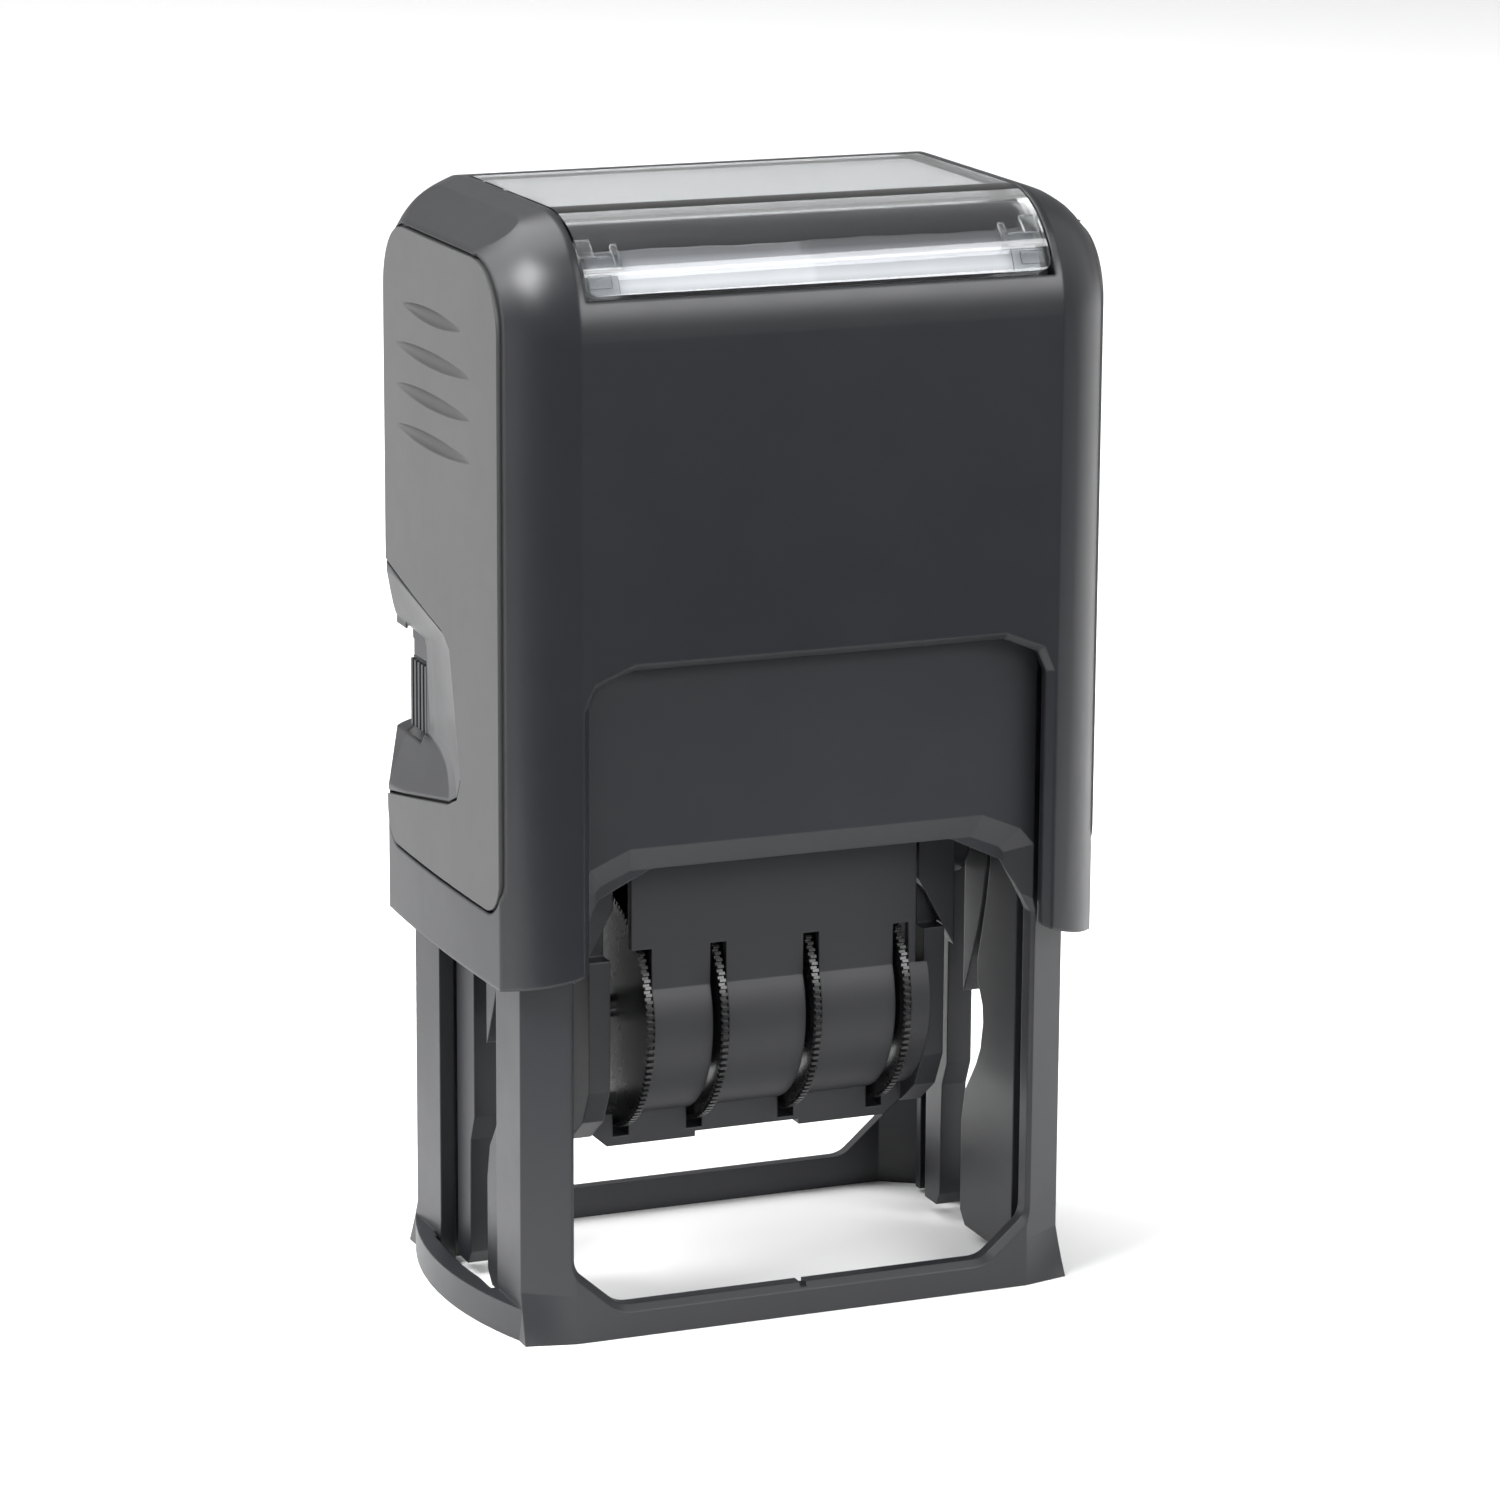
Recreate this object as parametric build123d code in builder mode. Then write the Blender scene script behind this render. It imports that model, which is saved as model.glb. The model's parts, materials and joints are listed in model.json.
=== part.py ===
from build123d import *
import os
from math import cos, radians, sin

# ---------------------------------------------------------------- driving dimensions (mm)
# The stamp stands on its base: Z up, front towards -Y, origin at the bottom centre.

# Cap (the outer housing that is pressed down)
cap_top = 98.0  # overall height at rest
cap_skirt = 32.0  # lower edge of the cap at rest
cap_half_d = 19.9  # front and back planes
cap_flat_x = 21.9  # half-width of the flat front
cap_side_x = 27.7  # side wall at its corners
cap_side_front, cap_side_back = -15.3, 13.9  # where the corner walls meet the side
cap_bow_x = 28.1  # side wall at mid-depth
cap_wall = 1.5
cap_shoulder = 3.5  # how far the top and its rounding drop over the corner
corner_xs = (21.9, 23.8, 25.3, 26.6, 27.7)  # stations across the bent corner
corner_bends = (0.0, 0.19, 0.41, 0.70, 1.0)  # share of the whole bend at each
cap_arc = 10.0  # radius of the rounded top, front and back
cap_ceiling = 95.1  # underside of the cap's top
cap_bevel = 0.65  # bevel round the front and back cut-outs
travel = 28.5  # stroke of the cap

# Window and index card in the top of the cap
window_x = 21.3
window_back = 9.7
window_lip = 91.6  # front lower edge
window_t = 1.5
window_gap = 0.22
card_size = (40.0, 18.0, 0.4)
card_z = 95.9

# Side panels let into the cap
panel_t = 0.8
panel_front, panel_back, panel_low, panel_high = -15.35, 13.95, 38.5, 94.1
panel_gap = 0.3
scoop_x = 26.3  # middle of the wall at the bottom of the grip scoop
recess_heights = (87.5, 83.8, 80.2, 76.6)

# Base frame
frame_top = 60.4
frame_half_d = 16.9
frame_flat_x = 21.35
frame_side_x = 25.5
frame_side_y = 14.1
frame_back_trim = 0.8  # the back corners are cut off this much deeper
frame_wall = 1.4
frame_inner_y = 15.2
frame_bevel = 0.6  # round the openings in front and back
deck_z = 56.6
deck_t = 1.6
slot_front, slot_back = -8.1, 6.9  # side slots
slot_bottom, slot_top = 2.9, 44.0
ring_h = 2.9  # bowed side rings of the base
post_x = 15.0
post_r = 2.4
post_top = 65.0
channel = 1.7  # half-width of the vertical way left for the pivot pins

# Ink cartridge
pad_face = 48.8
pad_size = (40.0, 25.6, 4.1)
tray_x = 20.9
tray_top = 56.3

# Pivot and die holder
pivot_z = 38.4
pin_r = 1.3
fit = 0.05  # radial clearance of the running fits
holder_size = (42.0, 25.0)
holder_z = 43.6  # underside of the holder plate
holder_t = 2.7
plate_size = (41.0, 24.0)
plate_face = 48.3
date_window = (28.4, 6.2)

# Date unit
axle_z = 24.9
axle_r = 1.0
wheel_r = 10.8
wheel_t = 0.6
wheel_teeth = 108
tooth = (0.7, 0.3)  # height and width of a tooth
hub_r = 5.2
wheel_xs = (-12.1, -5.1, 3.7, 12.3)
hub_spans = ((-12.1, -5.6), (-5.1, 3.2), (3.7, 7.95), (8.1, 12.3))
band_spans = ((-11.1, -6.2), (-4.1, 2.7), (4.7, 7.8), (8.2, 11.3))
band_r = 6.4
band_nose = 2.6
band_t = 0.9
cheek_in, cheek_out = 14.9, 16.9

os.makedirs("parts", exist_ok=True)


# ---------------------------------------------------------------- shared outlines
def symmetric(points):
    """A closed outline from its right half, listed from the lower end to the upper end."""
    return points + [(-x, z) for x, z in reversed(points)]


def cap_section(bend, inset=0.0):
    """The cap from the side, cut where its corners have taken this share of their bend."""
    front = -cap_half_d + (cap_side_front + cap_half_d) * bend + inset
    back = cap_half_d + (cap_side_back - cap_half_d) * bend - inset
    top = cap_top - cap_shoulder * bend - inset
    radius = cap_arc - cap_shoulder * bend - inset / 2
    lean = radius * sin(radians(45))
    y_front, y_back, z = front + radius, back - radius, top - radius
    with BuildLine() as outline:
        Line((front, cap_skirt), (front, z))
        ThreePointArc((front, z), (y_front - lean, z + lean), (y_front, top))
        Line((y_front, top), (y_back, top))
        ThreePointArc((y_back, top), (y_back + lean, z + lean), (back, z))
        Line((back, z), (back, cap_skirt))
        Line((back, cap_skirt), (front, cap_skirt))
    make_face(outline.edges())


def cap_slice(x, bend, inset):
    with BuildSketch(Plane.YZ.offset(x)) as made:
        cap_section(bend, inset)
    return made.sketch


def side_wall(depth, margin=0.0):
    """The bowed line of the side wall from above, at a depth below its surface."""
    front, back = cap_side_front - margin, cap_side_back + margin
    return ThreePointArc(
        (cap_side_x - depth, front), (cap_bow_x - depth, (front + back) / 2), (cap_side_x - depth, back)
    )


def cap_body(inset=0.0):
    """The cap as a solid: the side view carried across, with bent-back corners and bowed sides."""
    half = cap_flat_x - 0.4 * inset
    edge = cap_side_x - inset
    extrude(cap_slice(-half, 0, inset), amount=2 * half)
    for side in (-1, 1):
        slices = [
            cap_slice(side * (x - inset * (0.4 + 0.6 * bend)), bend, inset * (1 - 0.6 * bend))
            for x, bend in zip(corner_xs, corner_bends)
        ]
        loft(slices)
        extrude(slices[-1], amount=side * (cap_bow_x - cap_side_x))
    # the side walls bow out a little between their corners
    with BuildSketch(Plane.XY.offset(cap_skirt)) as plan:
        with BuildLine() as outline:
            wall = side_wall(inset, -0.4 * inset)
            Polyline((0, -25), (edge, -25), wall @ 0)
            Polyline(wall @ 1, (edge, 25), (0, 25))
            mirror(about=Plane.YZ)
        make_face(outline.edges())
    extrude(plan.sketch, amount=cap_top - cap_skirt, mode=Mode.INTERSECT)


def panel_outline():
    """The side panel from the side: wide radii at the top, small ones at the bottom."""
    corners = [
        (panel_back, panel_low), (panel_back, panel_high), (panel_front, panel_high), (panel_front, panel_low)
    ]
    with BuildLine() as outline:
        FilletPolyline(*corners, radius=(3.0, 6.0, 6.0, 3.0), close=True)
    make_face(outline.edges())


def frame_opening():
    """The opening in the front and back of the base frame, with rounded corners."""
    with BuildLine() as outline:
        FilletPolyline(*window_inner, radius=window_radii + window_radii[::-1], close=True)
    make_face(outline.edges())


def side_band(inner, outer):
    """A strip of the bowed side wall from above, between two depths below its surface."""
    with BuildLine() as outline:
        a = side_wall(outer, 1.5)
        b = side_wall(inner, 1.5)
        Line(a @ 0, b @ 0)
        Line(a @ 1, b @ 1)
    make_face(outline.edges())


def top_profile(radius, foot, lower):
    """The rounded top from the side, as a region of the YZ plane."""
    y, z = cap_half_d - cap_arc, cap_top - cap_arc
    lean = radius * sin(radians(45))
    with BuildLine() as outline:
        if foot > y + radius:
            Polyline((-foot, lower), (-foot, z - 3), (-y - radius, z))
            Polyline((foot, lower), (foot, z - 3), (y + radius, z))
        else:
            Line((-foot, lower), (-foot, z))
            Line((foot, lower), (foot, z))
        ThreePointArc((-y - radius, z), (-y - lean, z + lean), (-y, z + radius))
        Line((-y, z + radius), (y, z + radius))
        ThreePointArc((y, z + radius), (y + lean, z + lean), (y + radius, z))
        Line((foot, lower), (-foot, lower))
    make_face(outline.edges())


cutout = symmetric([(21.1, 20.0), (21.1, 56.8), (20.3, 58.6), (17.0, 59.95)])
# grip scoop in the side wall: its rim on the surface, and its floor where it is deepest
scoop_rim = [
    (26.0, 66.0), (-1.8, 60.4), (-3.6, 59.3), (-6.2, 48.4), (-5.3, 46.7), (-3.1, 45.8), (14.3, 42.7), (26.0, 41.0),
]
scoop_mid = [
    (26.0, 60.6), (3.2, 58.6), (2.4, 57.8), (0.2, 49.9), (0.7, 49.0), (1.8, 48.2), (14.3, 45.9), (26.0, 45.6),
]
scoop_floor = [
    (26.0, 58.6), (9.2, 57.4), (8.8, 56.8), (8.0, 50.2), (8.1, 49.4), (8.6, 48.9), (14.3, 48.2), (26.0, 48.0),
]
scoop_hole = [(26.0, 57.4), (9.3, 57.2), (9.3, 47.9), (26.0, 47.9)]
window_inner = symmetric(
    [(17.2, 2.9), (21.4, 6.6), (21.4, 34.5), (18.8, 39.2), (14.0, 41.5)]
)
window_radii = (2.4, 2.0, 0.4, 0.8, 0.8)  # of its corners, from the lowest up
window_outer = symmetric([(21.4, 30.0), (21.4, 40.7), (20.0, 42.3), (16.4, 43.8)])
frame_plan = symmetric(
    [
        (frame_flat_x, -frame_half_d), (frame_side_x, -frame_side_y),
        (frame_side_x, frame_side_y - frame_back_trim), (frame_flat_x, frame_half_d),
    ]
)
frame_hollow = symmetric([(20.9, -frame_inner_y), (24.1, -13.1), (24.1, 13.1), (20.9, frame_inner_y)])
front_rail = [
    (-12.8, 1.2), (-2.8, 1.2), (-channel, 2.4), (-channel, 10.9), (-2.4, 14.0), (-3.6, 15.6),
    (-4.7, 17.1), (-5.6, 18.8), (-6.1, 21.4), (-5.9, 23.0), (-4.8, 25.0), (-4.7, 27.0),
    (-5.6, 30.0), (-6.4, 33.0), (-7.1, 36.5), (-7.3, 42.6), (-12.8, 42.6),
]
rear_web = [
    (6.2, 1.2), (3.6, 1.2), (2.9, 2.4), (2.8, 11.0), (2.7, 13.0), (channel, 15.4),
    (channel, 40.4), (-channel, 40.4), (-channel, 23.2), (-2.1, 23.9), (-3.5, 27.0),
    (-4.7, 30.0), (-5.5, 32.7), (-6.2, 36.3), (-6.4, 42.6), (12.8, 42.6),
    (12.8, 35.0), (6.2, 33.0),
]

# ---------------------------------------------------------------- cap
shoulders = [(30, 0), (30, 92.9), (22.9, cap_top)]
with BuildPart() as cap_hollow:
    cap_body(cap_wall)
    with BuildSketch(Plane.YZ):
        top_profile(cap_arc - 2.9, cap_half_d - cap_wall, 0)
    extrude(amount=40, both=True, mode=Mode.INTERSECT)
    with BuildSketch(Plane.XZ):
        Polygon(*symmetric([(x - 2.4, z) for x, z in shoulders]), align=None)
    extrude(amount=40, both=True, mode=Mode.INTERSECT)

# Shallow pockets for the side panels, with the grip scoop left out
with BuildPart() as panel_pockets:
    for side in (-1, 1):
        with BuildSketch(Plane.XY.offset(30)):
            side_band(-3, panel_t)
            if side < 0:
                mirror(about=Plane.YZ, mode=Mode.REPLACE)
        extrude(amount=70)
    with BuildSketch(Plane.YZ):
        panel_outline()
        offset(amount=panel_gap)
        Polygon(*scoop_rim, align=None, mode=Mode.SUBTRACT)
    extrude(amount=40, both=True, mode=Mode.INTERSECT)

with BuildPart() as housing_shell:
    cap_body()
    # sloping shoulders from the rim of the top down to the side walls
    with BuildSketch(Plane.XZ):
        Polygon(*symmetric(shoulders), align=None)
    extrude(amount=40, both=True, mode=Mode.INTERSECT)
    add(cap_hollow.part, mode=Mode.SUBTRACT)
    # cut-outs front and back, with a bevelled edge
    with BuildSketch(Plane.XZ):
        Polygon(*cutout, align=None)
    extrude(amount=30, both=True, mode=Mode.SUBTRACT)
    for face_y in (-1, 1):
        with BuildSketch(Plane.XZ.offset(face_y * (cap_half_d + 0.2))):
            Polygon(*cutout, align=None)
            offset(amount=cap_bevel + 0.2, kind=Kind.INTERSECTION)
        extrude(amount=-face_y * (cap_bevel + 0.2), taper=45, mode=Mode.SUBTRACT)
    # the corner legs end a little higher towards the cut-outs
    with BuildSketch(Plane.XZ):
        for side in (-1, 1):
            Polygon((side * 27.6, 31), (side * 27.6, 32.0), (side * 25.0, 32.7),
                    (side * 22.6, 33.4), (side * 20, 34.5), (side * 20, 31), align=None)
    extrude(amount=30, both=True, mode=Mode.SUBTRACT)
    add(panel_pockets.part, mode=Mode.SUBTRACT)
    # grip scoops at the back of both sides: the wall is dished in, down to a hole at the cartridge's grips
    for side in (-1, 1):
        with Locations((side * scoop_x, 0, 44.0)):
            Box(1.0, 28.0, 18.6, align=(Align.CENTER, Align.CENTER, Align.MIN))
        for x, outline in ((27.95, scoop_rim), (26.6, scoop_mid), (scoop_x - 0.5, scoop_floor)):
            with BuildSketch(Plane.YZ.offset(side * x)):
                Polygon(*outline, align=None)
        loft(mode=Mode.SUBTRACT)
        with BuildSketch(Plane.YZ.offset(side * 27.95)):
            Polygon(*scoop_rim, align=None)
        extrude(amount=side * 2, mode=Mode.SUBTRACT)
        with BuildSketch(Plane.YZ.offset(side * 20.5)):
            Polygon(*scoop_hole, align=None)
        extrude(amount=side * 9, mode=Mode.SUBTRACT)
    # seat of the clear window and of the index card under it
    with BuildSketch(Plane.YZ):
        with BuildLine():
            y, z = cap_half_d - cap_arc, cap_top - cap_arc
            rise = (window_lip - window_gap - z) / cap_arc
            run = (1 - rise**2) ** 0.5
            seat = cap_arc - window_t - window_gap
            Line((window_back, z + seat), (-y, z + seat))
            ThreePointArc((-y, z + seat), (-y - seat * sin(radians(35)), z + seat * cos(radians(35))),
                          (-y - seat * run, z + seat * rise))
            Polyline((-y - seat * run, z + seat * rise), (-y - 14 * run, z + 14 * rise),
                     (-y - 14, cap_top + 4), (window_back, cap_top + 4), (window_back, z + seat))
        make_face()
    extrude(amount=window_x, both=True, mode=Mode.SUBTRACT)
    with Locations((0, 0, card_z)):
        Box(card_size[0] + 0.6, card_size[1] + 0.6, 2, align=(Align.CENTER, Align.CENTER, Align.MIN),
            mode=Mode.SUBTRACT)
    # bosses that hold the pivot pins, and cups for the return springs
    for side in (-1, 1):
        with BuildSketch(Plane.YZ.offset(side * 24.3)):
            with Locations((0, pivot_z)):
                Circle(3.0)
        extrude(amount=side * 2.8)
        with BuildSketch(Plane.YZ.offset(side * 24.0)):
            with Locations((0, pivot_z)):
                Circle(pin_r)
        extrude(amount=side * 3.0, mode=Mode.SUBTRACT)
        with BuildSketch(Plane.XY.offset(cap_ceiling - 1.4)):
            with Locations((side * post_x, 0)):
                Circle(5.2)
                Circle(4.2, mode=Mode.SUBTRACT)
        extrude(amount=1.6)
housing_shell.part.label = "housing_shell"
export_step(housing_shell.part, "parts/housing_shell.step")

# Clear window: flat over the card, then wrapped over the rounded front edge
with BuildPart() as top_window:
    with BuildSketch(Plane.YZ):
        with BuildLine():
            y, z = cap_half_d - cap_arc, cap_top - cap_arc
            rise = (window_lip + window_gap - z) / cap_arc
            run = (1 - rise**2) ** 0.5
            skin = cap_arc - window_t
            outer_mid = (-y - cap_arc * sin(radians(35)), z + cap_arc * cos(radians(35)))
            inner_mid = (-y - skin * sin(radians(35)), z + skin * cos(radians(35)))
            Line((window_back - window_gap, cap_top), (-y, cap_top))
            ThreePointArc((-y, cap_top), outer_mid, (-y - cap_arc * run, z + cap_arc * rise))
            Line((-y - cap_arc * run, z + cap_arc * rise), (-y - skin * run, z + skin * rise))
            ThreePointArc((-y - skin * run, z + skin * rise), inner_mid, (-y, z + skin))
            Polyline((-y, z + skin), (window_back - window_gap, z + skin),
                     (window_back - window_gap, cap_top))
        make_face()
    extrude(amount=window_x - window_gap, both=True)
    fillet(top_window.edges().filter_by(lambda e: e.length < window_t + 0.1).sort_by(Axis.Z)[:2], 1.0)
top_window.part.label = "top_window"
export_step(top_window.part, "parts/top_window.step")

with BuildPart() as index_card:
    with Locations((0, 0, card_z)):
        Box(*card_size, align=(Align.CENTER, Align.CENTER, Align.MIN))
index_card.part.label = "index_card"
export_step(index_card.part, "parts/index_card.step")

# Side panels: thin bowed inlays with four finger recesses near the top
for side, name in ((-1, "side_panel_left"), (1, "side_panel_right")):
    with BuildPart() as side_panel:
        with BuildSketch(Plane.XY.offset(30)):
            side_band(0, panel_t)
            if side < 0:
                mirror(about=Plane.YZ, mode=Mode.REPLACE)
        extrude(amount=70)
        with BuildSketch(Plane.YZ):
            panel_outline()
        extrude(amount=40, both=True, mode=Mode.INTERSECT)
        # each recess is cut by a slim spindle with pointed ends
        for height in recess_heights:
            half = 8.0 if height > 85 else 10.6
            centre = (side * (cap_bow_x - 0.03), 0.5, height)
            with BuildSketch(Plane(centre, x_dir=(0, 1, 0), z_dir=(1, 0, 0))):
                with BuildLine():
                    ThreePointArc((-half, 0), (0, 0.7), (half, 0))
                    Line((half, 0), (-half, 0))
                make_face()
            revolve(axis=Axis(centre, (0, 1, 0)), mode=Mode.SUBTRACT)
        with BuildSketch(Plane.YZ):
            Polygon(*scoop_rim, align=None)
            offset(amount=panel_gap, kind=Kind.INTERSECTION)
        extrude(amount=40, both=True, mode=Mode.SUBTRACT)
    side_panel.part.label = name
    export_step(side_panel.part, f"parts/{name}.step")

# ---------------------------------------------------------------- base frame
with BuildPart() as base_frame:
    with BuildSketch():
        Polygon(*frame_plan, align=None)
    extrude(amount=frame_top)
    # flared feet at the four corners
    for height, x, y in ((0.0, 25.7, 15.9), (2.2, 25.58, 14.9), (4.3, frame_side_x, frame_side_y)):
        with BuildSketch(Plane.XY.offset(height)):
            Polygon(*symmetric([(frame_flat_x, -frame_half_d), (x, -y), (x, y - frame_back_trim),
                                (frame_flat_x, frame_half_d)]), align=None)
    loft()
    # bowed side rings of the base
    for side in (-1, 1):
        with BuildSketch():
            with BuildLine():
                a = ThreePointArc((side * 25.55, -14.6), (side * 28.1, -0.4), (side * 25.55, 13.8))
                b = ThreePointArc((side * 24.2, -14.0), (side * 26.4, 0), (side * 24.2, 14.0))
                Line(a @ 0, b @ 0)
                Line(a @ 1, b @ 1)
            make_face()
        extrude(amount=ring_h)
    # hollow under the deck, shallow tray above it
    with BuildSketch():
        Polygon(*frame_hollow, align=None)
    extrude(amount=deck_z, mode=Mode.SUBTRACT)
    with BuildSketch(Plane.XY.offset(deck_z + deck_t)):
        Polygon(*frame_hollow, align=None)
    extrude(amount=10, mode=Mode.SUBTRACT)
    # windows front and back, with a sloping soffit above
    with BuildSketch(Plane.XZ):
        frame_opening()
    extrude(amount=30, both=True, mode=Mode.SUBTRACT)
    for face_y in (-1, 1):
        with BuildSketch(Plane.XZ.offset(face_y * frame_half_d)):
            Polygon(*window_outer, align=None)
        extrude(amount=-face_y * 1.5, taper=56.9, mode=Mode.SUBTRACT)
        with BuildSketch(Plane.XZ.offset(face_y * (frame_half_d + 0.1))):
            frame_opening()
            offset(amount=frame_bevel + 0.1)
        extrude(amount=-face_y * (frame_bevel + 0.1), taper=45, mode=Mode.SUBTRACT)
    with Locations((0, -frame_half_d, 2.9)):
        Box(0.6, 6, 0.7, mode=Mode.SUBTRACT)
    # side slots for the pivot pins
    for side in (-1, 1):
        with Locations((side * 24.8, (slot_front + slot_back) / 2, slot_bottom)):
            Box(2.0, slot_back - slot_front, slot_top - slot_bottom,
                align=(Align.CENTER, Align.CENTER, Align.MIN), mode=Mode.SUBTRACT)
        with Locations((side * 25.0, (slot_front + slot_back) / 2, 0)):
            Box(2.2, slot_back - slot_front, 8, mode=Mode.SUBTRACT)
        # stiffening ribs behind the slot
        with Locations(*[(side * 23.7, y, 0.4) for y in (8.4, 11.0)]):
            Box(1.2, 0.9, 32.2, align=(Align.CENTER, Align.CENTER, Align.MIN))
    # opening for the ink cartridge: across the back, with notches for its side grips
    with Locations((0, 20, 48.2)):
        Box(60, 14, deck_z - 48.2, align=(Align.CENTER, Align.CENTER, Align.MIN), mode=Mode.SUBTRACT)
    for side in (-1, 1):
        with Locations((side * 25.5, 9.6, 46.9)):
            Box(3.0, 12, 55.2 - 46.9, align=(Align.CENTER, Align.MIN, Align.MIN), mode=Mode.SUBTRACT)
        # ledge that carries the cartridge
        with Locations((side * 22.95, 0, 47.9)):
            Box(2.3, 26.0, 1.4, align=(Align.CENTER, Align.CENTER, Align.MIN))
        # guide post of the return spring
        with Locations((side * post_x, 0, deck_z)):
            Cylinder(post_r, post_top - deck_z, align=(Align.CENTER, Align.CENTER, Align.MIN))
base_frame.part.label = "base_frame"
export_step(base_frame.part, "parts/base_frame.step")

# Cam guides: rails on the inside of the side walls, with a curved track between them
for side, outline, name in (
    (-1, front_rail, "cam_rail_left"),
    (1, front_rail, "cam_rail_right"),
    (-1, rear_web, "cam_web_left"),
    (1, rear_web, "cam_web_right"),
):
    with BuildPart() as cam_guide:
        with BuildSketch(Plane.YZ.offset(side * 21.7)):
            Polygon(*outline, align=None)
        extrude(amount=side * 2.4)
    cam_guide.part.label = name
    export_step(cam_guide.part, f"parts/{name}.step")

# Return springs round the guide posts, drawn as plain sleeves of the coils' size
for side, name in ((-1, "return_spring_left"), (1, "return_spring_right")):
    with BuildPart() as return_spring:
        with BuildSketch(Plane.XY.offset(deck_z + deck_t)):
            with Locations((side * post_x, 0)):
                Circle(3.9)
                Circle(3.0, mode=Mode.SUBTRACT)
        extrude(amount=cap_ceiling - deck_z - deck_t)
    return_spring.part.label = name
    export_step(return_spring.part, f"parts/{name}.step")

# ---------------------------------------------------------------- ink cartridge
with BuildPart() as ink_cartridge:
    with BuildSketch(Plane.XY.offset(pad_face + pad_size[2])):
        Rectangle(2 * tray_x, 29.0)
    extrude(amount=tray_top - pad_face - pad_size[2])
    with BuildSketch(Plane.XY.offset(49.5)):
        Rectangle(2 * tray_x, 29.0)
        Rectangle(pad_size[0], pad_size[1], mode=Mode.SUBTRACT)
    extrude(amount=4.0)
    for side in (-1, 1):
        with Locations((side * 22.4, 0, 49.5)):
            Box(3.2, 25.8, 1.8, align=(Align.CENTER, Align.CENTER, Align.MIN))
        with Locations((side * 24.05, 12.5, 49.5)):
            Box(0.9, 5.0, 1.8, align=(Align.CENTER, Align.CENTER, Align.MIN))
        # side grip with upright ribs
        with Locations((side * 24.65, 12.25, 48.3)):
            Box(0.8, 4.5, 6.5, align=(Align.CENTER, Align.CENTER, Align.MIN))
        with Locations(*[(side * 25.1, 10.3 + 0.93 * n, 48.5) for n in range(5)]):
            Box(0.6, 0.5, 6.1, align=(Align.CENTER, Align.CENTER, Align.MIN))
    with Locations((0, 14.4, 48.9)):
        Box(40.6, 2.0, tray_top - 48.9, align=(Align.CENTER, Align.MIN, Align.MIN))
ink_cartridge.part.label = "ink_cartridge"
export_step(ink_cartridge.part, "parts/ink_cartridge.step")

with BuildPart() as ink_pad:
    with Locations((0, 0, pad_face)):
        Box(*pad_size, align=(Align.CENTER, Align.CENTER, Align.MIN))
ink_pad.part.label = "ink_pad"
export_step(ink_pad.part, "parts/ink_pad.step")

# ---------------------------------------------------------------- pivot pins
for side, name in ((-1, "pivot_pin_left"), (1, "pivot_pin_right")):
    with BuildPart() as pivot_pin:
        with BuildSketch(Plane.YZ.offset(side * 18.5)):
            with Locations((0, pivot_z)):
                Circle(pin_r)
        extrude(amount=side * 8.4)
        chamfer(pivot_pin.faces().sort_by(Axis.X)[0 if side > 0 else -1].edges(), 0.25)
    pivot_pin.part.label = name
    export_step(pivot_pin.part, f"parts/{name}.step")

# ---------------------------------------------------------------- die holder and text plate
with BuildPart() as die_holder:
    with BuildSketch(Plane.XY.offset(holder_z)):
        Rectangle(*holder_size)
        Rectangle(*date_window, mode=Mode.SUBTRACT)
    extrude(amount=holder_t)
    with BuildSketch(Plane.XY.offset(holder_z + holder_t)):
        Rectangle(*holder_size)
        Rectangle(*plate_size, mode=Mode.SUBTRACT)
    extrude(amount=0.6)
    for side in (-1, 1):
        # ear round the pivot pin
        with BuildSketch(Plane.YZ.offset(side * 18.4)):
            with Locations((0, pivot_z)):
                Circle(4.2)
            with Locations((0, (pivot_z + holder_z) / 2 + 0.5)):
                Rectangle(8.4, holder_z - pivot_z + 1)
            with Locations((0, pivot_z)):
                Circle(pin_r + fit, mode=Mode.SUBTRACT)
        extrude(amount=side * 2.6)
    # gusset arms front and back
    for face_y in (-1, 1):
        with BuildSketch(Plane.XZ.offset(face_y * 6.4)):
            for side in (-1, 1):
                Polygon((side * 14.5, 44), (side * 18.0, 44), (side * 18.0, 29.5),
                        (side * 14.5, 35.9), align=None)
        extrude(amount=face_y * 1.2)
die_holder.part.label = "die_holder"
export_step(die_holder.part, "parts/die_holder.step")

with BuildPart() as text_plate:
    with BuildSketch(Plane.XY.offset(holder_z + holder_t)):
        Rectangle(*plate_size)
        Rectangle(*date_window, mode=Mode.SUBTRACT)
    extrude(amount=1.2)
    # raised printing areas: an outer border and two plain bars
    with BuildSketch(Plane.XY.offset(holder_z + holder_t + 1.2)):
        Rectangle(40.4, 23.4)
        Rectangle(38.8, 21.8, mode=Mode.SUBTRACT)
        with Locations((0, 7.2), (0, -7.2)):
            Rectangle(33.0, 1.6)
    extrude(amount=plate_face - holder_z - holder_t - 1.2)
text_plate.part.label = "text_plate"
export_step(text_plate.part, "parts/text_plate.step")

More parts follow.
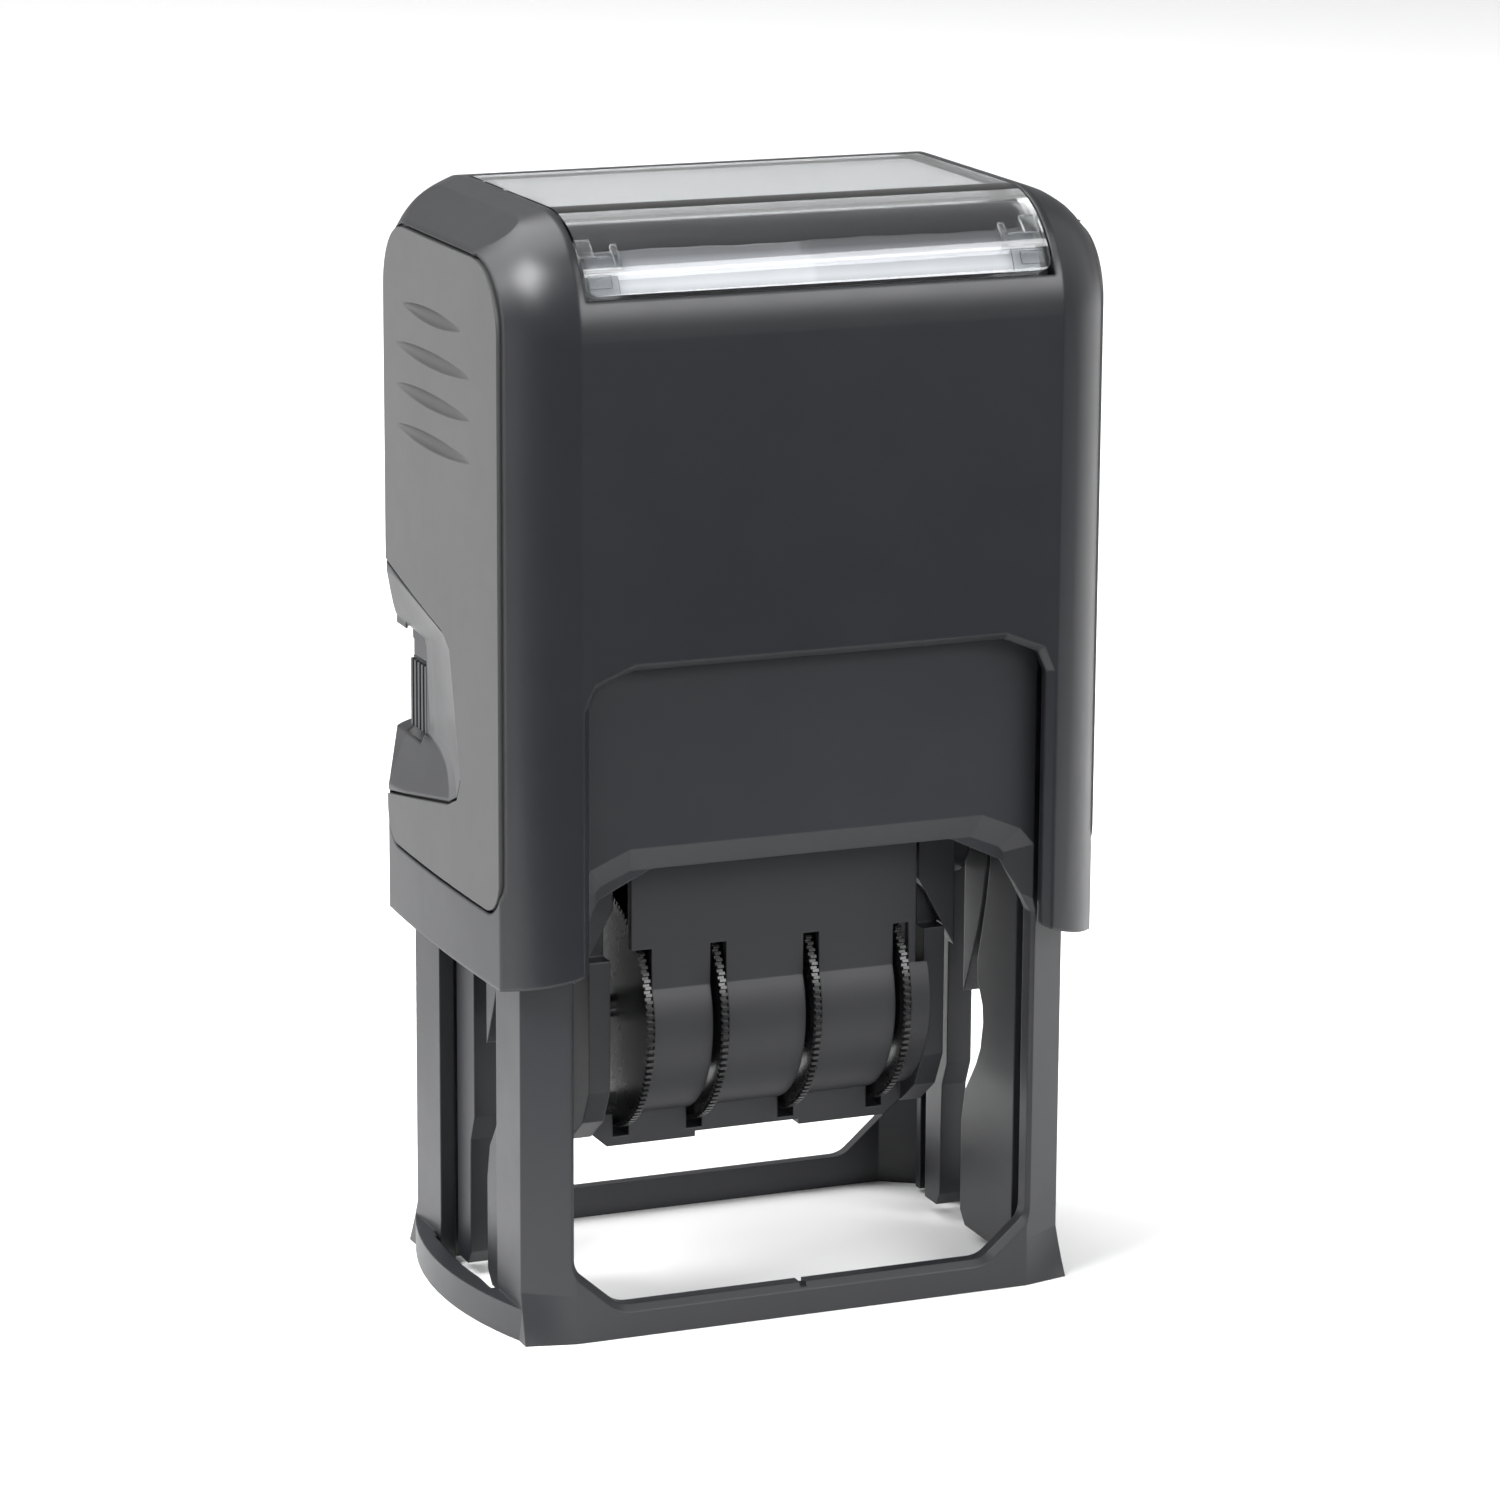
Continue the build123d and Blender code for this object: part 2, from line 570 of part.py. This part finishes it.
# ---------------------------------------------------------------- date unit
with BuildPart() as date_carrier:
    for side in (-1, 1):
        with BuildSketch(Plane.YZ.offset(side * cheek_in)):
            Polygon((-6.3, holder_z), (-6.3, 31.4), (-8.0, 31.4), (-8.0, 19.6), (-6.4, 16.4), (-3.2, 14.0),
                    (3.2, 14.0), (6.4, 16.4), (8.0, 19.6), (8.0, 31.4), (6.3, 31.4), (6.3, holder_z),
                    align=None)
            with Locations((0, axle_z)):
                Circle(axle_r, mode=Mode.SUBTRACT)
        extrude(amount=side * (cheek_out - cheek_in))
    # beam that carries the noses of the date bands
    with Locations((0, 0, 36.4)):
        Box(2 * cheek_in, 3.0, 7.2, align=(Align.CENTER, Align.CENTER, Align.MIN))
    with Locations((0, 0, holder_z)):
        Box(28.0, 3.0, 2.6, align=(Align.CENTER, Align.CENTER, Align.MIN))
    # bottom bar with a slot for each thumbwheel and a shallow arch in the middle
    with BuildSketch(Plane.XZ.offset(-3.2)):
        Polygon(*symmetric([(5.0, 12.9), (13.4, 12.9), (cheek_in, 14.2), (cheek_in, 15.9)]), align=None)
        with Locations((0, 12.9)):
            Rectangle(10.0, 1.0, mode=Mode.SUBTRACT)
    extrude(amount=6.4)
    for x in wheel_xs:
        with Locations((x, 0, 13.75)):
            Box(wheel_t + 0.9, 8, 4, align=(Align.CENTER, Align.CENTER, Align.MIN), mode=Mode.SUBTRACT)
date_carrier.part.label = "date_carrier"
export_step(date_carrier.part, "parts/date_carrier.step")

# Shield: flat above, curved round the thumbwheels below, slotted for each wheel
with BuildPart() as wheel_shield:
    with BuildSketch(Plane.YZ.offset(-13.3)):
        with BuildLine():
            r_out, r_in = 9.7, 8.8
            start, end = radians(157), radians(247)
            middle = (start + end) / 2
            a = [(r_out * cos(t), axle_z + r_out * sin(t)) for t in (start, middle, end)]
            b = [(r_in * cos(t), axle_z + r_in * sin(t)) for t in (start, middle, end)]
            ThreePointArc(*a)
            Line(a[2], b[2])
            ThreePointArc(*reversed(b))
            Polyline(b[0], (b[0][0], holder_z), (a[0][0], holder_z), a[0])
        make_face()
    extrude(amount=27.0)
    # the curved part runs on to the right cheek
    with BuildSketch(Plane.YZ.offset(13.6)):
        with BuildLine():
            ThreePointArc(*a)
            Line(a[2], b[2])
            ThreePointArc(*reversed(b))
            Line(b[0], a[0])
        make_face()
    extrude(amount=cheek_in - 13.6)
    for x in wheel_xs:
        left = -14.0 if x < -10 else x - wheel_t / 2 - 0.5
        width = x + wheel_t / 2 + 0.4 - left
        with Locations((left + width / 2, -10, 32.4)):
            Box(width, 20, 30, align=(Align.CENTER, Align.CENTER, Align.MAX), mode=Mode.SUBTRACT)
wheel_shield.part.label = "wheel_shield"
export_step(wheel_shield.part, "parts/wheel_shield.step")

with BuildPart() as wheel_axle:
    with BuildSketch(Plane.YZ.offset(-cheek_out)):
        with Locations((0, axle_z)):
            Circle(axle_r)
    extrude(amount=2 * cheek_out)
wheel_axle.part.label = "wheel_axle"
export_step(wheel_axle.part, "parts/wheel_axle.step")

for side, name in ((-1, "axle_bush_left"), (1, "axle_bush_right")):
    with BuildPart() as axle_bush:
        with BuildSketch(Plane.YZ.offset(side * 13.2)):
            with Locations((0, axle_z)):
                Circle(1.5)
                Circle(axle_r, mode=Mode.SUBTRACT)
        extrude(amount=side * (cheek_in - 13.2))
    axle_bush.part.label = name
    export_step(axle_bush.part, f"parts/{name}.step")

# Four toothed thumbwheels, each with the pulley of its date band
for number, (x, hub) in enumerate(zip(wheel_xs, hub_spans), 1):
    with BuildPart() as thumbwheel:
        with BuildSketch(Plane.YZ.offset(x - wheel_t / 2)):
            with Locations((0, axle_z)):
                Circle(wheel_r - 0.4)
                with PolarLocations(wheel_r - tooth[0] / 2, wheel_teeth):
                    Rectangle(*tooth)
                Circle(axle_r + fit, mode=Mode.SUBTRACT)
        extrude(amount=wheel_t)
        with BuildSketch(Plane.YZ.offset(hub[0])):
            with Locations((0, axle_z)):
                Circle(hub_r)
                Circle(axle_r + fit, mode=Mode.SUBTRACT)
        extrude(amount=hub[1] - hub[0])
    thumbwheel.part.label = f"thumbwheel_{number}"
    export_step(thumbwheel.part, f"parts/thumbwheel_{number}.step")

# Date bands: rubber loops from the pulleys up to the printing face
for number, span in enumerate(band_spans, 1):
    with BuildPart() as date_band:
        with BuildSketch(Plane.YZ.offset(span[0])):
            for grow, mode in ((0, Mode.ADD), (-band_t, Mode.SUBTRACT)):
                with BuildSketch(Plane.YZ.offset(span[0]), mode=Mode.PRIVATE) as loop:
                    with Locations((0, axle_z)):
                        Circle(band_r + grow)
                    with Locations((0, plate_face - band_nose)):
                        Circle(band_nose + grow)
                    make_hull()
                add(loop.sketch_local, mode=mode)
        extrude(amount=span[1] - span[0])
    date_band.part.label = f"date_band_{number}"
    export_step(date_band.part, f"parts/date_band_{number}.step")
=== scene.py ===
import json
import math

import bmesh
import bpy
from mathutils import Matrix, Vector


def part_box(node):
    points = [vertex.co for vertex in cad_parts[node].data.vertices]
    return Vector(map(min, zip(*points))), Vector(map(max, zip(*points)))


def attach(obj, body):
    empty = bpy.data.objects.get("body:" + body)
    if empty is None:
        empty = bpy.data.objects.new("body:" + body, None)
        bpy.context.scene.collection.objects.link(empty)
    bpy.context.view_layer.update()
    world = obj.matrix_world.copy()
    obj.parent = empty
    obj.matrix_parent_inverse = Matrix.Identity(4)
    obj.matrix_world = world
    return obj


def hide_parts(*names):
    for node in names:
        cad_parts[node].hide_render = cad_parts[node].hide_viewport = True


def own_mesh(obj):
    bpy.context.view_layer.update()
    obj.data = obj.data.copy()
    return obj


MM = 0.001

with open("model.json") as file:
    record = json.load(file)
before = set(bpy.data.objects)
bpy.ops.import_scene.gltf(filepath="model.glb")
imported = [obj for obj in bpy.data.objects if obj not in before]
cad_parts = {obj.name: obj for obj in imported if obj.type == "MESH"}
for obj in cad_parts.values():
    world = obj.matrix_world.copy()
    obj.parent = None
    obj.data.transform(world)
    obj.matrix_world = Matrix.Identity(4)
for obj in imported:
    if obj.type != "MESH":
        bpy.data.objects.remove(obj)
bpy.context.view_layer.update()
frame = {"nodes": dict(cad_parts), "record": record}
scene = bpy.context.scene
scene.view_settings.view_transform = "Standard"


# ---------------------------------------------------------------- camera
# A long lens a little above the object, to the left of its front.
YAW, PITCH, ROLL = math.radians(22.228), math.radians(13.871), math.radians(0.339)
forward = Vector((math.sin(YAW) * math.cos(PITCH), math.cos(YAW) * math.cos(PITCH), -math.sin(PITCH)))
level = Vector((math.cos(YAW), -math.sin(YAW), 0))
upward = level.cross(forward)
right = level * math.cos(ROLL) + upward * math.sin(ROLL)
up = upward * math.cos(ROLL) - level * math.sin(ROLL)
position = Vector((-0.184412, -0.454630, 0.168331))
camera = bpy.data.objects.new("camera", bpy.data.cameras.new("camera"))
camera.data.sensor_width = 36.0
camera.data.lens = 137.02
camera.data.clip_end = 20.0
axes = Matrix((right, up, -forward)).transposed()
camera.matrix_world = Matrix.Translation(position) @ axes.to_4x4()
scene.collection.objects.link(camera)
scene.camera = camera


# ---------------------------------------------------------------- materials
class Shader:
    """A material with short calls for the nodes used below."""

    def __init__(self, name):
        self.material = bpy.data.materials.new(name)
        self.material.use_nodes = True
        self.tree = self.material.node_tree
        self.surface = self.tree.nodes["Principled BSDF"]
        self.where = self.node("ShaderNodeTexCoord").outputs["Object"]

    def node(self, kind, **settings):
        made = self.tree.nodes.new(kind)
        for key, value in settings.items():
            if key in made.inputs:
                made.inputs[key].default_value = value
            else:
                setattr(made, key, value)
        return made

    def link(self, source, target):
        self.tree.links.new(source, target)

    def noise(self, scale, detail=3.0, roughness=0.5, stretch=None):
        texture = self.node("ShaderNodeTexNoise", Scale=scale, Detail=detail, Roughness=roughness)
        where = self.where
        if stretch:
            squeeze = self.node("ShaderNodeMapping")
            squeeze.inputs["Scale"].default_value = stretch
            self.link(where, squeeze.inputs["Vector"])
            where = squeeze.outputs["Vector"]
        self.link(where, texture.inputs["Vector"])
        return texture.outputs["Fac"]

    def ramp(self, source, *stops):
        """Stops are (position, value or colour)."""
        made = self.node("ShaderNodeValToRGB")
        elements = made.color_ramp.elements
        while len(elements) < len(stops):
            elements.new(0.5)
        for element, (place, value) in zip(elements, stops):
            element.position = place
            element.color = (*value, 1) if isinstance(value, tuple) else (value, value, value, 1)
        self.link(source, made.inputs["Fac"])
        return made.outputs["Color"]

    def spread(self, source, low, high):
        made = self.node("ShaderNodeMapRange", **{"To Min": low, "To Max": high})
        self.link(source, made.inputs["Value"])
        return made.outputs["Result"]

    def relief(self, source, strength, distance, edge=0.0):
        """Bump from a texture, over edges rounded by edge metres."""
        bump = self.node("ShaderNodeBump", Strength=strength, Distance=distance)
        self.link(source, bump.inputs["Height"])
        if edge:
            rounded = self.node("ShaderNodeBevel", samples=6, Radius=edge)
            self.link(rounded.outputs["Normal"], bump.inputs["Normal"])
        self.link(bump.outputs["Normal"], self.surface.inputs["Normal"])


def moulded(name, dark, light, rough, grain=0.0, grain_scale=2600, edge=0.0003):
    """Moulded plastic: faint flow marks in its colour, polished and worn areas, and a fine grain."""
    made = Shader(name)
    flow = made.noise(38, detail=5, stretch=(1, 1, 0.35))
    made.link(made.ramp(flow, (0.25, dark), (0.8, light)), made.surface.inputs["Base Color"])
    wear = made.noise(160, detail=6, roughness=0.65)
    made.link(made.spread(wear, rough - 0.05, rough + 0.06), made.surface.inputs["Roughness"])
    made.relief(made.noise(grain_scale, detail=2), 0.25 if grain else 0.04, grain or 0.00001, edge)
    return made.material


def metal(name, colour, rough):
    """Drawn wire or turned pin, with fine streaks along it."""
    made = Shader(name)
    streaks = made.noise(900, detail=3, stretch=(1, 12, 12))
    made.link(made.ramp(streaks, (0.3, colour), (0.75, tuple(0.8 * c for c in colour))),
              made.surface.inputs["Base Color"])
    made.surface.inputs["Metallic"].default_value = 1.0
    made.link(made.spread(streaks, rough - 0.06, rough + 0.08), made.surface.inputs["Roughness"])
    made.relief(streaks, 0.15, 0.00001, 0.0002)
    return made.material


def clear(name, tint, rough):
    """Polished clear plastic with the faintest haze and scratches."""
    made = Shader(name)
    haze = made.noise(420, detail=6, roughness=0.7, stretch=(0.3, 1, 1))
    made.surface.inputs["Base Color"].default_value = (*tint, 1)
    made.surface.inputs["Transmission Weight"].default_value = 1.0
    made.surface.inputs["IOR"].default_value = 1.49
    made.link(made.spread(haze, max(0.0, rough - 0.01), rough + 0.035), made.surface.inputs["Roughness"])
    made.relief(haze, 0.05, 0.00002)
    return made.material


def card_stock(name):
    """Pale paper card with faint fibres."""
    made = Shader(name)
    fibre = made.noise(1500, detail=4, stretch=(0.4, 1, 1))
    made.link(made.ramp(fibre, (0.3, (0.82, 0.83, 0.84)), (0.8, (0.88, 0.89, 0.90))),
              made.surface.inputs["Base Color"])
    made.link(made.spread(fibre, 0.6, 0.8), made.surface.inputs["Roughness"])
    made.relief(fibre, 0.15, 0.00002)
    return made.material


def foam(name):
    """Inked foam with open cells."""
    made = Shader(name)
    cells = made.node("ShaderNodeTexVoronoi", Scale=2200.0)
    made.link(made.where, cells.inputs["Vector"])
    made.link(made.ramp(cells.outputs["Distance"], (0.1, (0.004, 0.004, 0.01)), (0.7, (0.02, 0.02, 0.035))),
              made.surface.inputs["Base Color"])
    made.link(made.spread(made.noise(300), 0.35, 0.7), made.surface.inputs["Roughness"])
    made.relief(cells.outputs["Distance"], 0.6, 0.0001, 0.0004)
    return made.material


def rubber(name, dark, light):
    """Matt rubber with a little dust."""
    made = Shader(name)
    dust = made.noise(240, detail=6, roughness=0.7)
    made.link(made.ramp(dust, (0.3, dark), (0.8, light)), made.surface.inputs["Base Color"])
    made.link(made.spread(dust, 0.6, 0.85), made.surface.inputs["Roughness"])
    made.relief(made.noise(1800, detail=2), 0.3, 0.00002, 0.00015)
    return made.material


looks = {
    "cap_plastic": moulded("cap_satin_black", (0.0075, 0.0080, 0.0105), (0.0098, 0.0104, 0.0132), 0.35,
                           edge=0.0004),
    "panel_plastic": moulded("panel_matt_black", (0.042, 0.042, 0.043), (0.050, 0.050, 0.051), 0.5,
                             grain=0.00002, grain_scale=4200, edge=0.0002),
    "frame_plastic": moulded("frame_semi_matt", (0.0115, 0.0120, 0.0150), (0.0160, 0.0166, 0.0200), 0.42,
                             grain=0.00001, grain_scale=3000, edge=0.0002),
    "shield_plastic": moulded("shield_matt", (0.013, 0.0133, 0.0165), (0.017, 0.0174, 0.0205), 0.5,
                              grain=0.00001, grain_scale=3600, edge=0.0002),
    "wheel_plastic": moulded("wheel_satin", (0.006, 0.006, 0.0065), (0.010, 0.010, 0.011), 0.26,
                             edge=0.00006),
    "bush_plastic": moulded("bush_grey", (0.20, 0.20, 0.21), (0.26, 0.26, 0.27), 0.45, edge=0.0002),
    "clear_plastic": clear("window_clear", (0.97, 0.98, 0.985), 0.015),
    "card": card_stock("card_grey"),
    "pin_steel": metal("pin_steel", (0.62, 0.62, 0.63), 0.28),
    "spring_steel": metal("spring_steel", (0.56, 0.56, 0.58), 0.32),
    "ink_foam": foam("ink_foam"),
    "plate_rubber": rubber("plate_rubber", (0.20, 0.055, 0.045), (0.30, 0.085, 0.07)),
    "band_rubber": rubber("band_rubber", (0.018, 0.018, 0.018), (0.035, 0.035, 0.034)),
}
for entry in frame["record"]["subparts"]:
    for socket in frame["nodes"][entry["node"]].material_slots:
        socket.material = looks[entry["material_slot"]]


# ---------------------------------------------------------------- pieces
def finish_mesh(name, build, body, material, smooth=True):
    """Turns a bmesh into a piece that rides on a body."""
    bmesh.ops.recalc_face_normals(build, faces=build.faces)
    mesh = bpy.data.meshes.new(name)
    build.to_mesh(mesh)
    build.free()
    mesh.materials.append(material)
    made = bpy.data.objects.new(name, mesh)
    scene.collection.objects.link(made)
    for face in mesh.polygons:
        face.use_smooth = smooth
    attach(made, body)
    return made


ARC_Y, ARC_Z = -9.9, 88.0  # centre of the cap's rounded front top, mm
LINER_HALF_WIDTH = 20.4  # mm
LINER_INNER, LINER_OUTER = 8.37, 8.46  # radii of the film, mm
LINER_LOW, LINER_HIGH = 22.5, 50.0  # degrees up from the front
LINER_STRIPS = 34
LINER_PAINTED_SHADE_LOW, LINER_PAINTED_SHADE_HIGH = 0.0912, 0.0948  # heights over which the film's colour holds painted shade that darkens it towards the top, m


def curved_strip(build, x0, x1, inner, outer, low, high, steps=24, ragged=None):
    """A strip that follows the rounded front top. low and high are angles up from the front, in degrees."""
    rings = []
    for n in range(steps + 1):
        ring = []
        for x, radius in ((x0, inner), (x1, inner), (x1, outer), (x0, outer)):
            top = high + (ragged(x) if ragged else 0)
            angle = math.radians(low + (top - low) * n / steps)
            ring.append(build.verts.new((x * MM, (ARC_Y - radius * math.cos(angle)) * MM,
                                         (ARC_Z + radius * math.sin(angle)) * MM)))
        rings.append(ring)
    for a, b in zip(rings, rings[1:]):
        for k in range(4):
            build.faces.new((a[k], a[(k + 1) % 4], b[(k + 1) % 4], b[k]))
    build.faces.new(rings[0])
    build.faces.new(list(reversed(rings[-1])))


def liner_with_painted_shade(name):
    """Silvered film with painted light in its colour: a painted highlight band low down, and painted shade
    darkening it towards its upper edge where it turns away under the card.
    """
    made = Shader(name)
    brushed = made.noise(1200, detail=3, stretch=(0.08, 1, 1))
    split = made.node("ShaderNodeSeparateXYZ")
    made.link(made.where, split.inputs["Vector"])
    rise = made.node("ShaderNodeMapRange", **{"From Min": LINER_PAINTED_SHADE_LOW, "From Max": LINER_PAINTED_SHADE_HIGH})
    made.link(split.outputs["Z"], rise.inputs["Value"])
    # The ramp paints a highlight band and shade into the film's colour by height, not its own colour.
    painted_shade_and_highlight = made.ramp(rise.outputs["Result"], (0.0, (0.60, 0.61, 0.63)), (0.22, (0.84, 0.85, 0.87)),
                      (0.5, (0.52, 0.53, 0.56)), (0.78, (0.13, 0.13, 0.14)), (1.0, (0.07, 0.07, 0.075)))
    made.link(painted_shade_and_highlight, made.surface.inputs["Base Color"])
    made.link(made.spread(brushed, 0.34, 0.48), made.surface.inputs["Roughness"])
    made.relief(brushed, 0.05, 0.000005)
    return made.material


# Silvery paper liner seen through the lower half of the curved window, with a slightly uneven upper edge
build = bmesh.new()
edges_x = [-LINER_HALF_WIDTH + 2 * LINER_HALF_WIDTH * n / LINER_STRIPS for n in range(LINER_STRIPS + 1)]
for x0, x1 in zip(edges_x, edges_x[1:]):
    curved_strip(build, x0, x1, LINER_INNER, LINER_OUTER, LINER_LOW, LINER_HIGH,
                 ragged=lambda x: 0.5 * math.sin(0.35 * x) + 0.25 * math.sin(1.3 * x + 1))
bmesh.ops.remove_doubles(build, verts=build.verts, dist=0.000001)
finish_mesh("window_liner", build, "housing", liner_with_painted_shade("liner_satin_painted_shade"))

frosted = clear("clip_frosted", (0.86, 0.88, 0.9), 0.22)
for side, name in ((-1, "left"), (1, "right")):
    # moulded snap clips at both ends of the curved window: x from and to, radii, angles
    build = bmesh.new()
    for x0, x1, inner, outer, low, high in (
        (20.9, 17.9, 8.62, 8.9, 24, 36), (20.7, 18.6, 8.9, 9.35, 27, 34), (20.9, 17.6, 8.6, 9.3, 38, 45),
        (20.9, 19.6, 8.6, 9.3, 45, 56), (17.9, 17.4, 8.6, 9.3, 38, 52),
    ):
        curved_strip(build, side * x0, side * x1, inner, outer, low, high, steps=6)
    finish_mesh(f"window_clip_{name}", build, "top_cover", frosted, smooth=False)


WIRE = 0.35 * MM  # radius of the spring wire
COIL_INSET = 1.3 * WIRE  # the wire's centre line inside the CAD sleeve


def coil_spring(name, node, turns=9, around=24, sides=10):
    """A wound return spring in the space of its CAD sleeve."""
    low, high = (Vector(corner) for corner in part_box(node))
    centre = (low + high) / 2
    radius = (high.x - low.x) / 2 - COIL_INSET
    start, height = low.z + WIRE, high.z - low.z - 2 * WIRE
    upright = Vector((0, 0, 1))
    build = bmesh.new()
    rings = []
    for n in range(turns * around + 1):
        angle = 2 * math.pi * n / around
        out = Vector((math.cos(angle), math.sin(angle), 0))
        middle = Vector((centre.x, centre.y, start + height * n / (turns * around))) + radius * out
        ring = []
        for k in range(sides):
            turn = 2 * math.pi * k / sides
            ring.append(build.verts.new(middle + WIRE * (math.cos(turn) * out + math.sin(turn) * upright)))
        rings.append(ring)
    for a, b in zip(rings, rings[1:]):
        for k in range(sides):
            build.faces.new((a[k], a[(k + 1) % sides], b[(k + 1) % sides], b[k]))
    build.faces.new(rings[0])
    build.faces.new(list(reversed(rings[-1])))
    made = finish_mesh(name, build, "frame", looks["spring_steel"])
    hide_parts(node)
    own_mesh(made)


coil_spring("return_coil_left", "return_spring_left")
coil_spring("return_coil_right", "return_spring_right")


# ---------------------------------------------------------------- floor, backdrop and light
def plain(name, colour, rough):
    """The floor's finish, almost even."""
    made = Shader(name)
    lighter = tuple(min(1.0, c * 1.01) for c in colour)
    made.link(made.ramp(made.noise(9, detail=4), (0.3, colour), (0.8, lighter)),
              made.surface.inputs["Base Color"])
    made.surface.inputs["Roughness"].default_value = rough
    made.surface.inputs["Specular IOR Level"].default_value = 0.2
    return made.material


def sweep(name, half_width, front, back, bend, height):
    """A floor that curves up into a backdrop."""
    mesh = bpy.data.meshes.new(name)
    rows = [(front, 0.0)]
    rows += [(back + bend * math.sin(a), bend * (1 - math.cos(a)))
             for a in [math.pi / 2 * n / 24 for n in range(25)]]
    rows.append((back + bend, height))
    build = bmesh.new()
    pairs = [[build.verts.new((side * half_width, y, z)) for side in (-1, 1)] for y, z in rows]
    for a, b in zip(pairs, pairs[1:]):
        build.faces.new((a[0], a[1], b[1], b[0])).smooth = True
    build.to_mesh(mesh)
    build.free()
    made = bpy.data.objects.new(name, mesh)
    scene.collection.objects.link(made)
    made.data.materials.append(plain("floor_white", (0.93, 0.93, 0.93), 0.6))
    return made


sweep("floor", half_width=4.0, front=-3.0, back=2.2, bend=1.2, height=4.0)


def softbox(name, place, target, width, height, power):
    """A rectangular white light at place, turned to target. Metres and watts."""
    light = bpy.data.lights.new(name, "AREA")
    light.shape = "RECTANGLE"
    light.size, light.size_y = width, height
    light.energy = power
    made = bpy.data.objects.new(name, light)
    made.location = place
    made.rotation_euler = (Vector(target) - Vector(place)).to_track_quat("-Z", "Y").to_euler()
    scene.collection.objects.link(made)
    return made


softbox("left_wall", (-0.85, 0.5, 0.45), (0, 0, 0.05), 0.9, 0.9, 7.5)
softbox("left_top", (-0.62, -0.14, 0.66), (0, 0, 0.07), 0.38, 0.38, 9.0)
softbox("overhead", (-0.25, 0.4, 1.1), (0, 0, 0.05), 0.9, 1.0, 13)
softbox("window_strip", (0.45, -0.55, 1.05), (0, 0, 0.09), 0.6, 0.14, 2.2)
softbox("front_strip", (0.50, -1.05, 0.62), (0, 0, 0.08), 1.1, 0.40, 13)
softbox("right_wall", (1.0, 0.1, 0.4), (0, 0, 0.05), 0.7, 0.9, 1.3)


CARD_LIFT = 0.0005  # height of the reflecting cards over the floor, m


def reflector(name, corners, colour, strength):
    """A card that only shows in reflections, lying just above the floor."""
    mesh = bpy.data.meshes.new(name)
    mesh.from_pydata([(x, y, CARD_LIFT) for x, y in corners], [], [tuple(range(len(corners)))])
    made = bpy.data.objects.new(name, mesh)
    glow = bpy.data.materials.new(name)
    glow.use_nodes = True
    surface = glow.node_tree.nodes["Principled BSDF"]
    surface.inputs["Base Color"].default_value = (0, 0, 0, 1)
    surface.inputs["Roughness"].default_value = 1.0
    surface.inputs["Specular IOR Level"].default_value = 0.0
    surface.inputs["Emission Color"].default_value = (*colour, 1)
    surface.inputs["Emission Strength"].default_value = strength
    mesh.materials.append(glow)
    scene.collection.objects.link(made)
    made.visible_camera = made.visible_diffuse = made.visible_shadow = made.visible_transmission = False


reflector("dark_card", [(-0.75, -0.80), (1.0, -0.80), (1.0, -0.02), (-0.06, -0.06), (-0.55, 0.02)],
          (0.84, 0.88, 1.0), 0.22)
reflector("bright_card", [(-0.75, 0.06), (-0.02, 0.06), (0.10, 0.9), (-0.75, 0.9)], (1, 1, 1), 1.4)

world = bpy.data.worlds.new("studio")
world.use_nodes = True
world.node_tree.nodes["Background"].inputs["Color"].default_value = (1, 1, 1, 1)
world.node_tree.nodes["Background"].inputs["Strength"].default_value = 0.3
scene.world = world
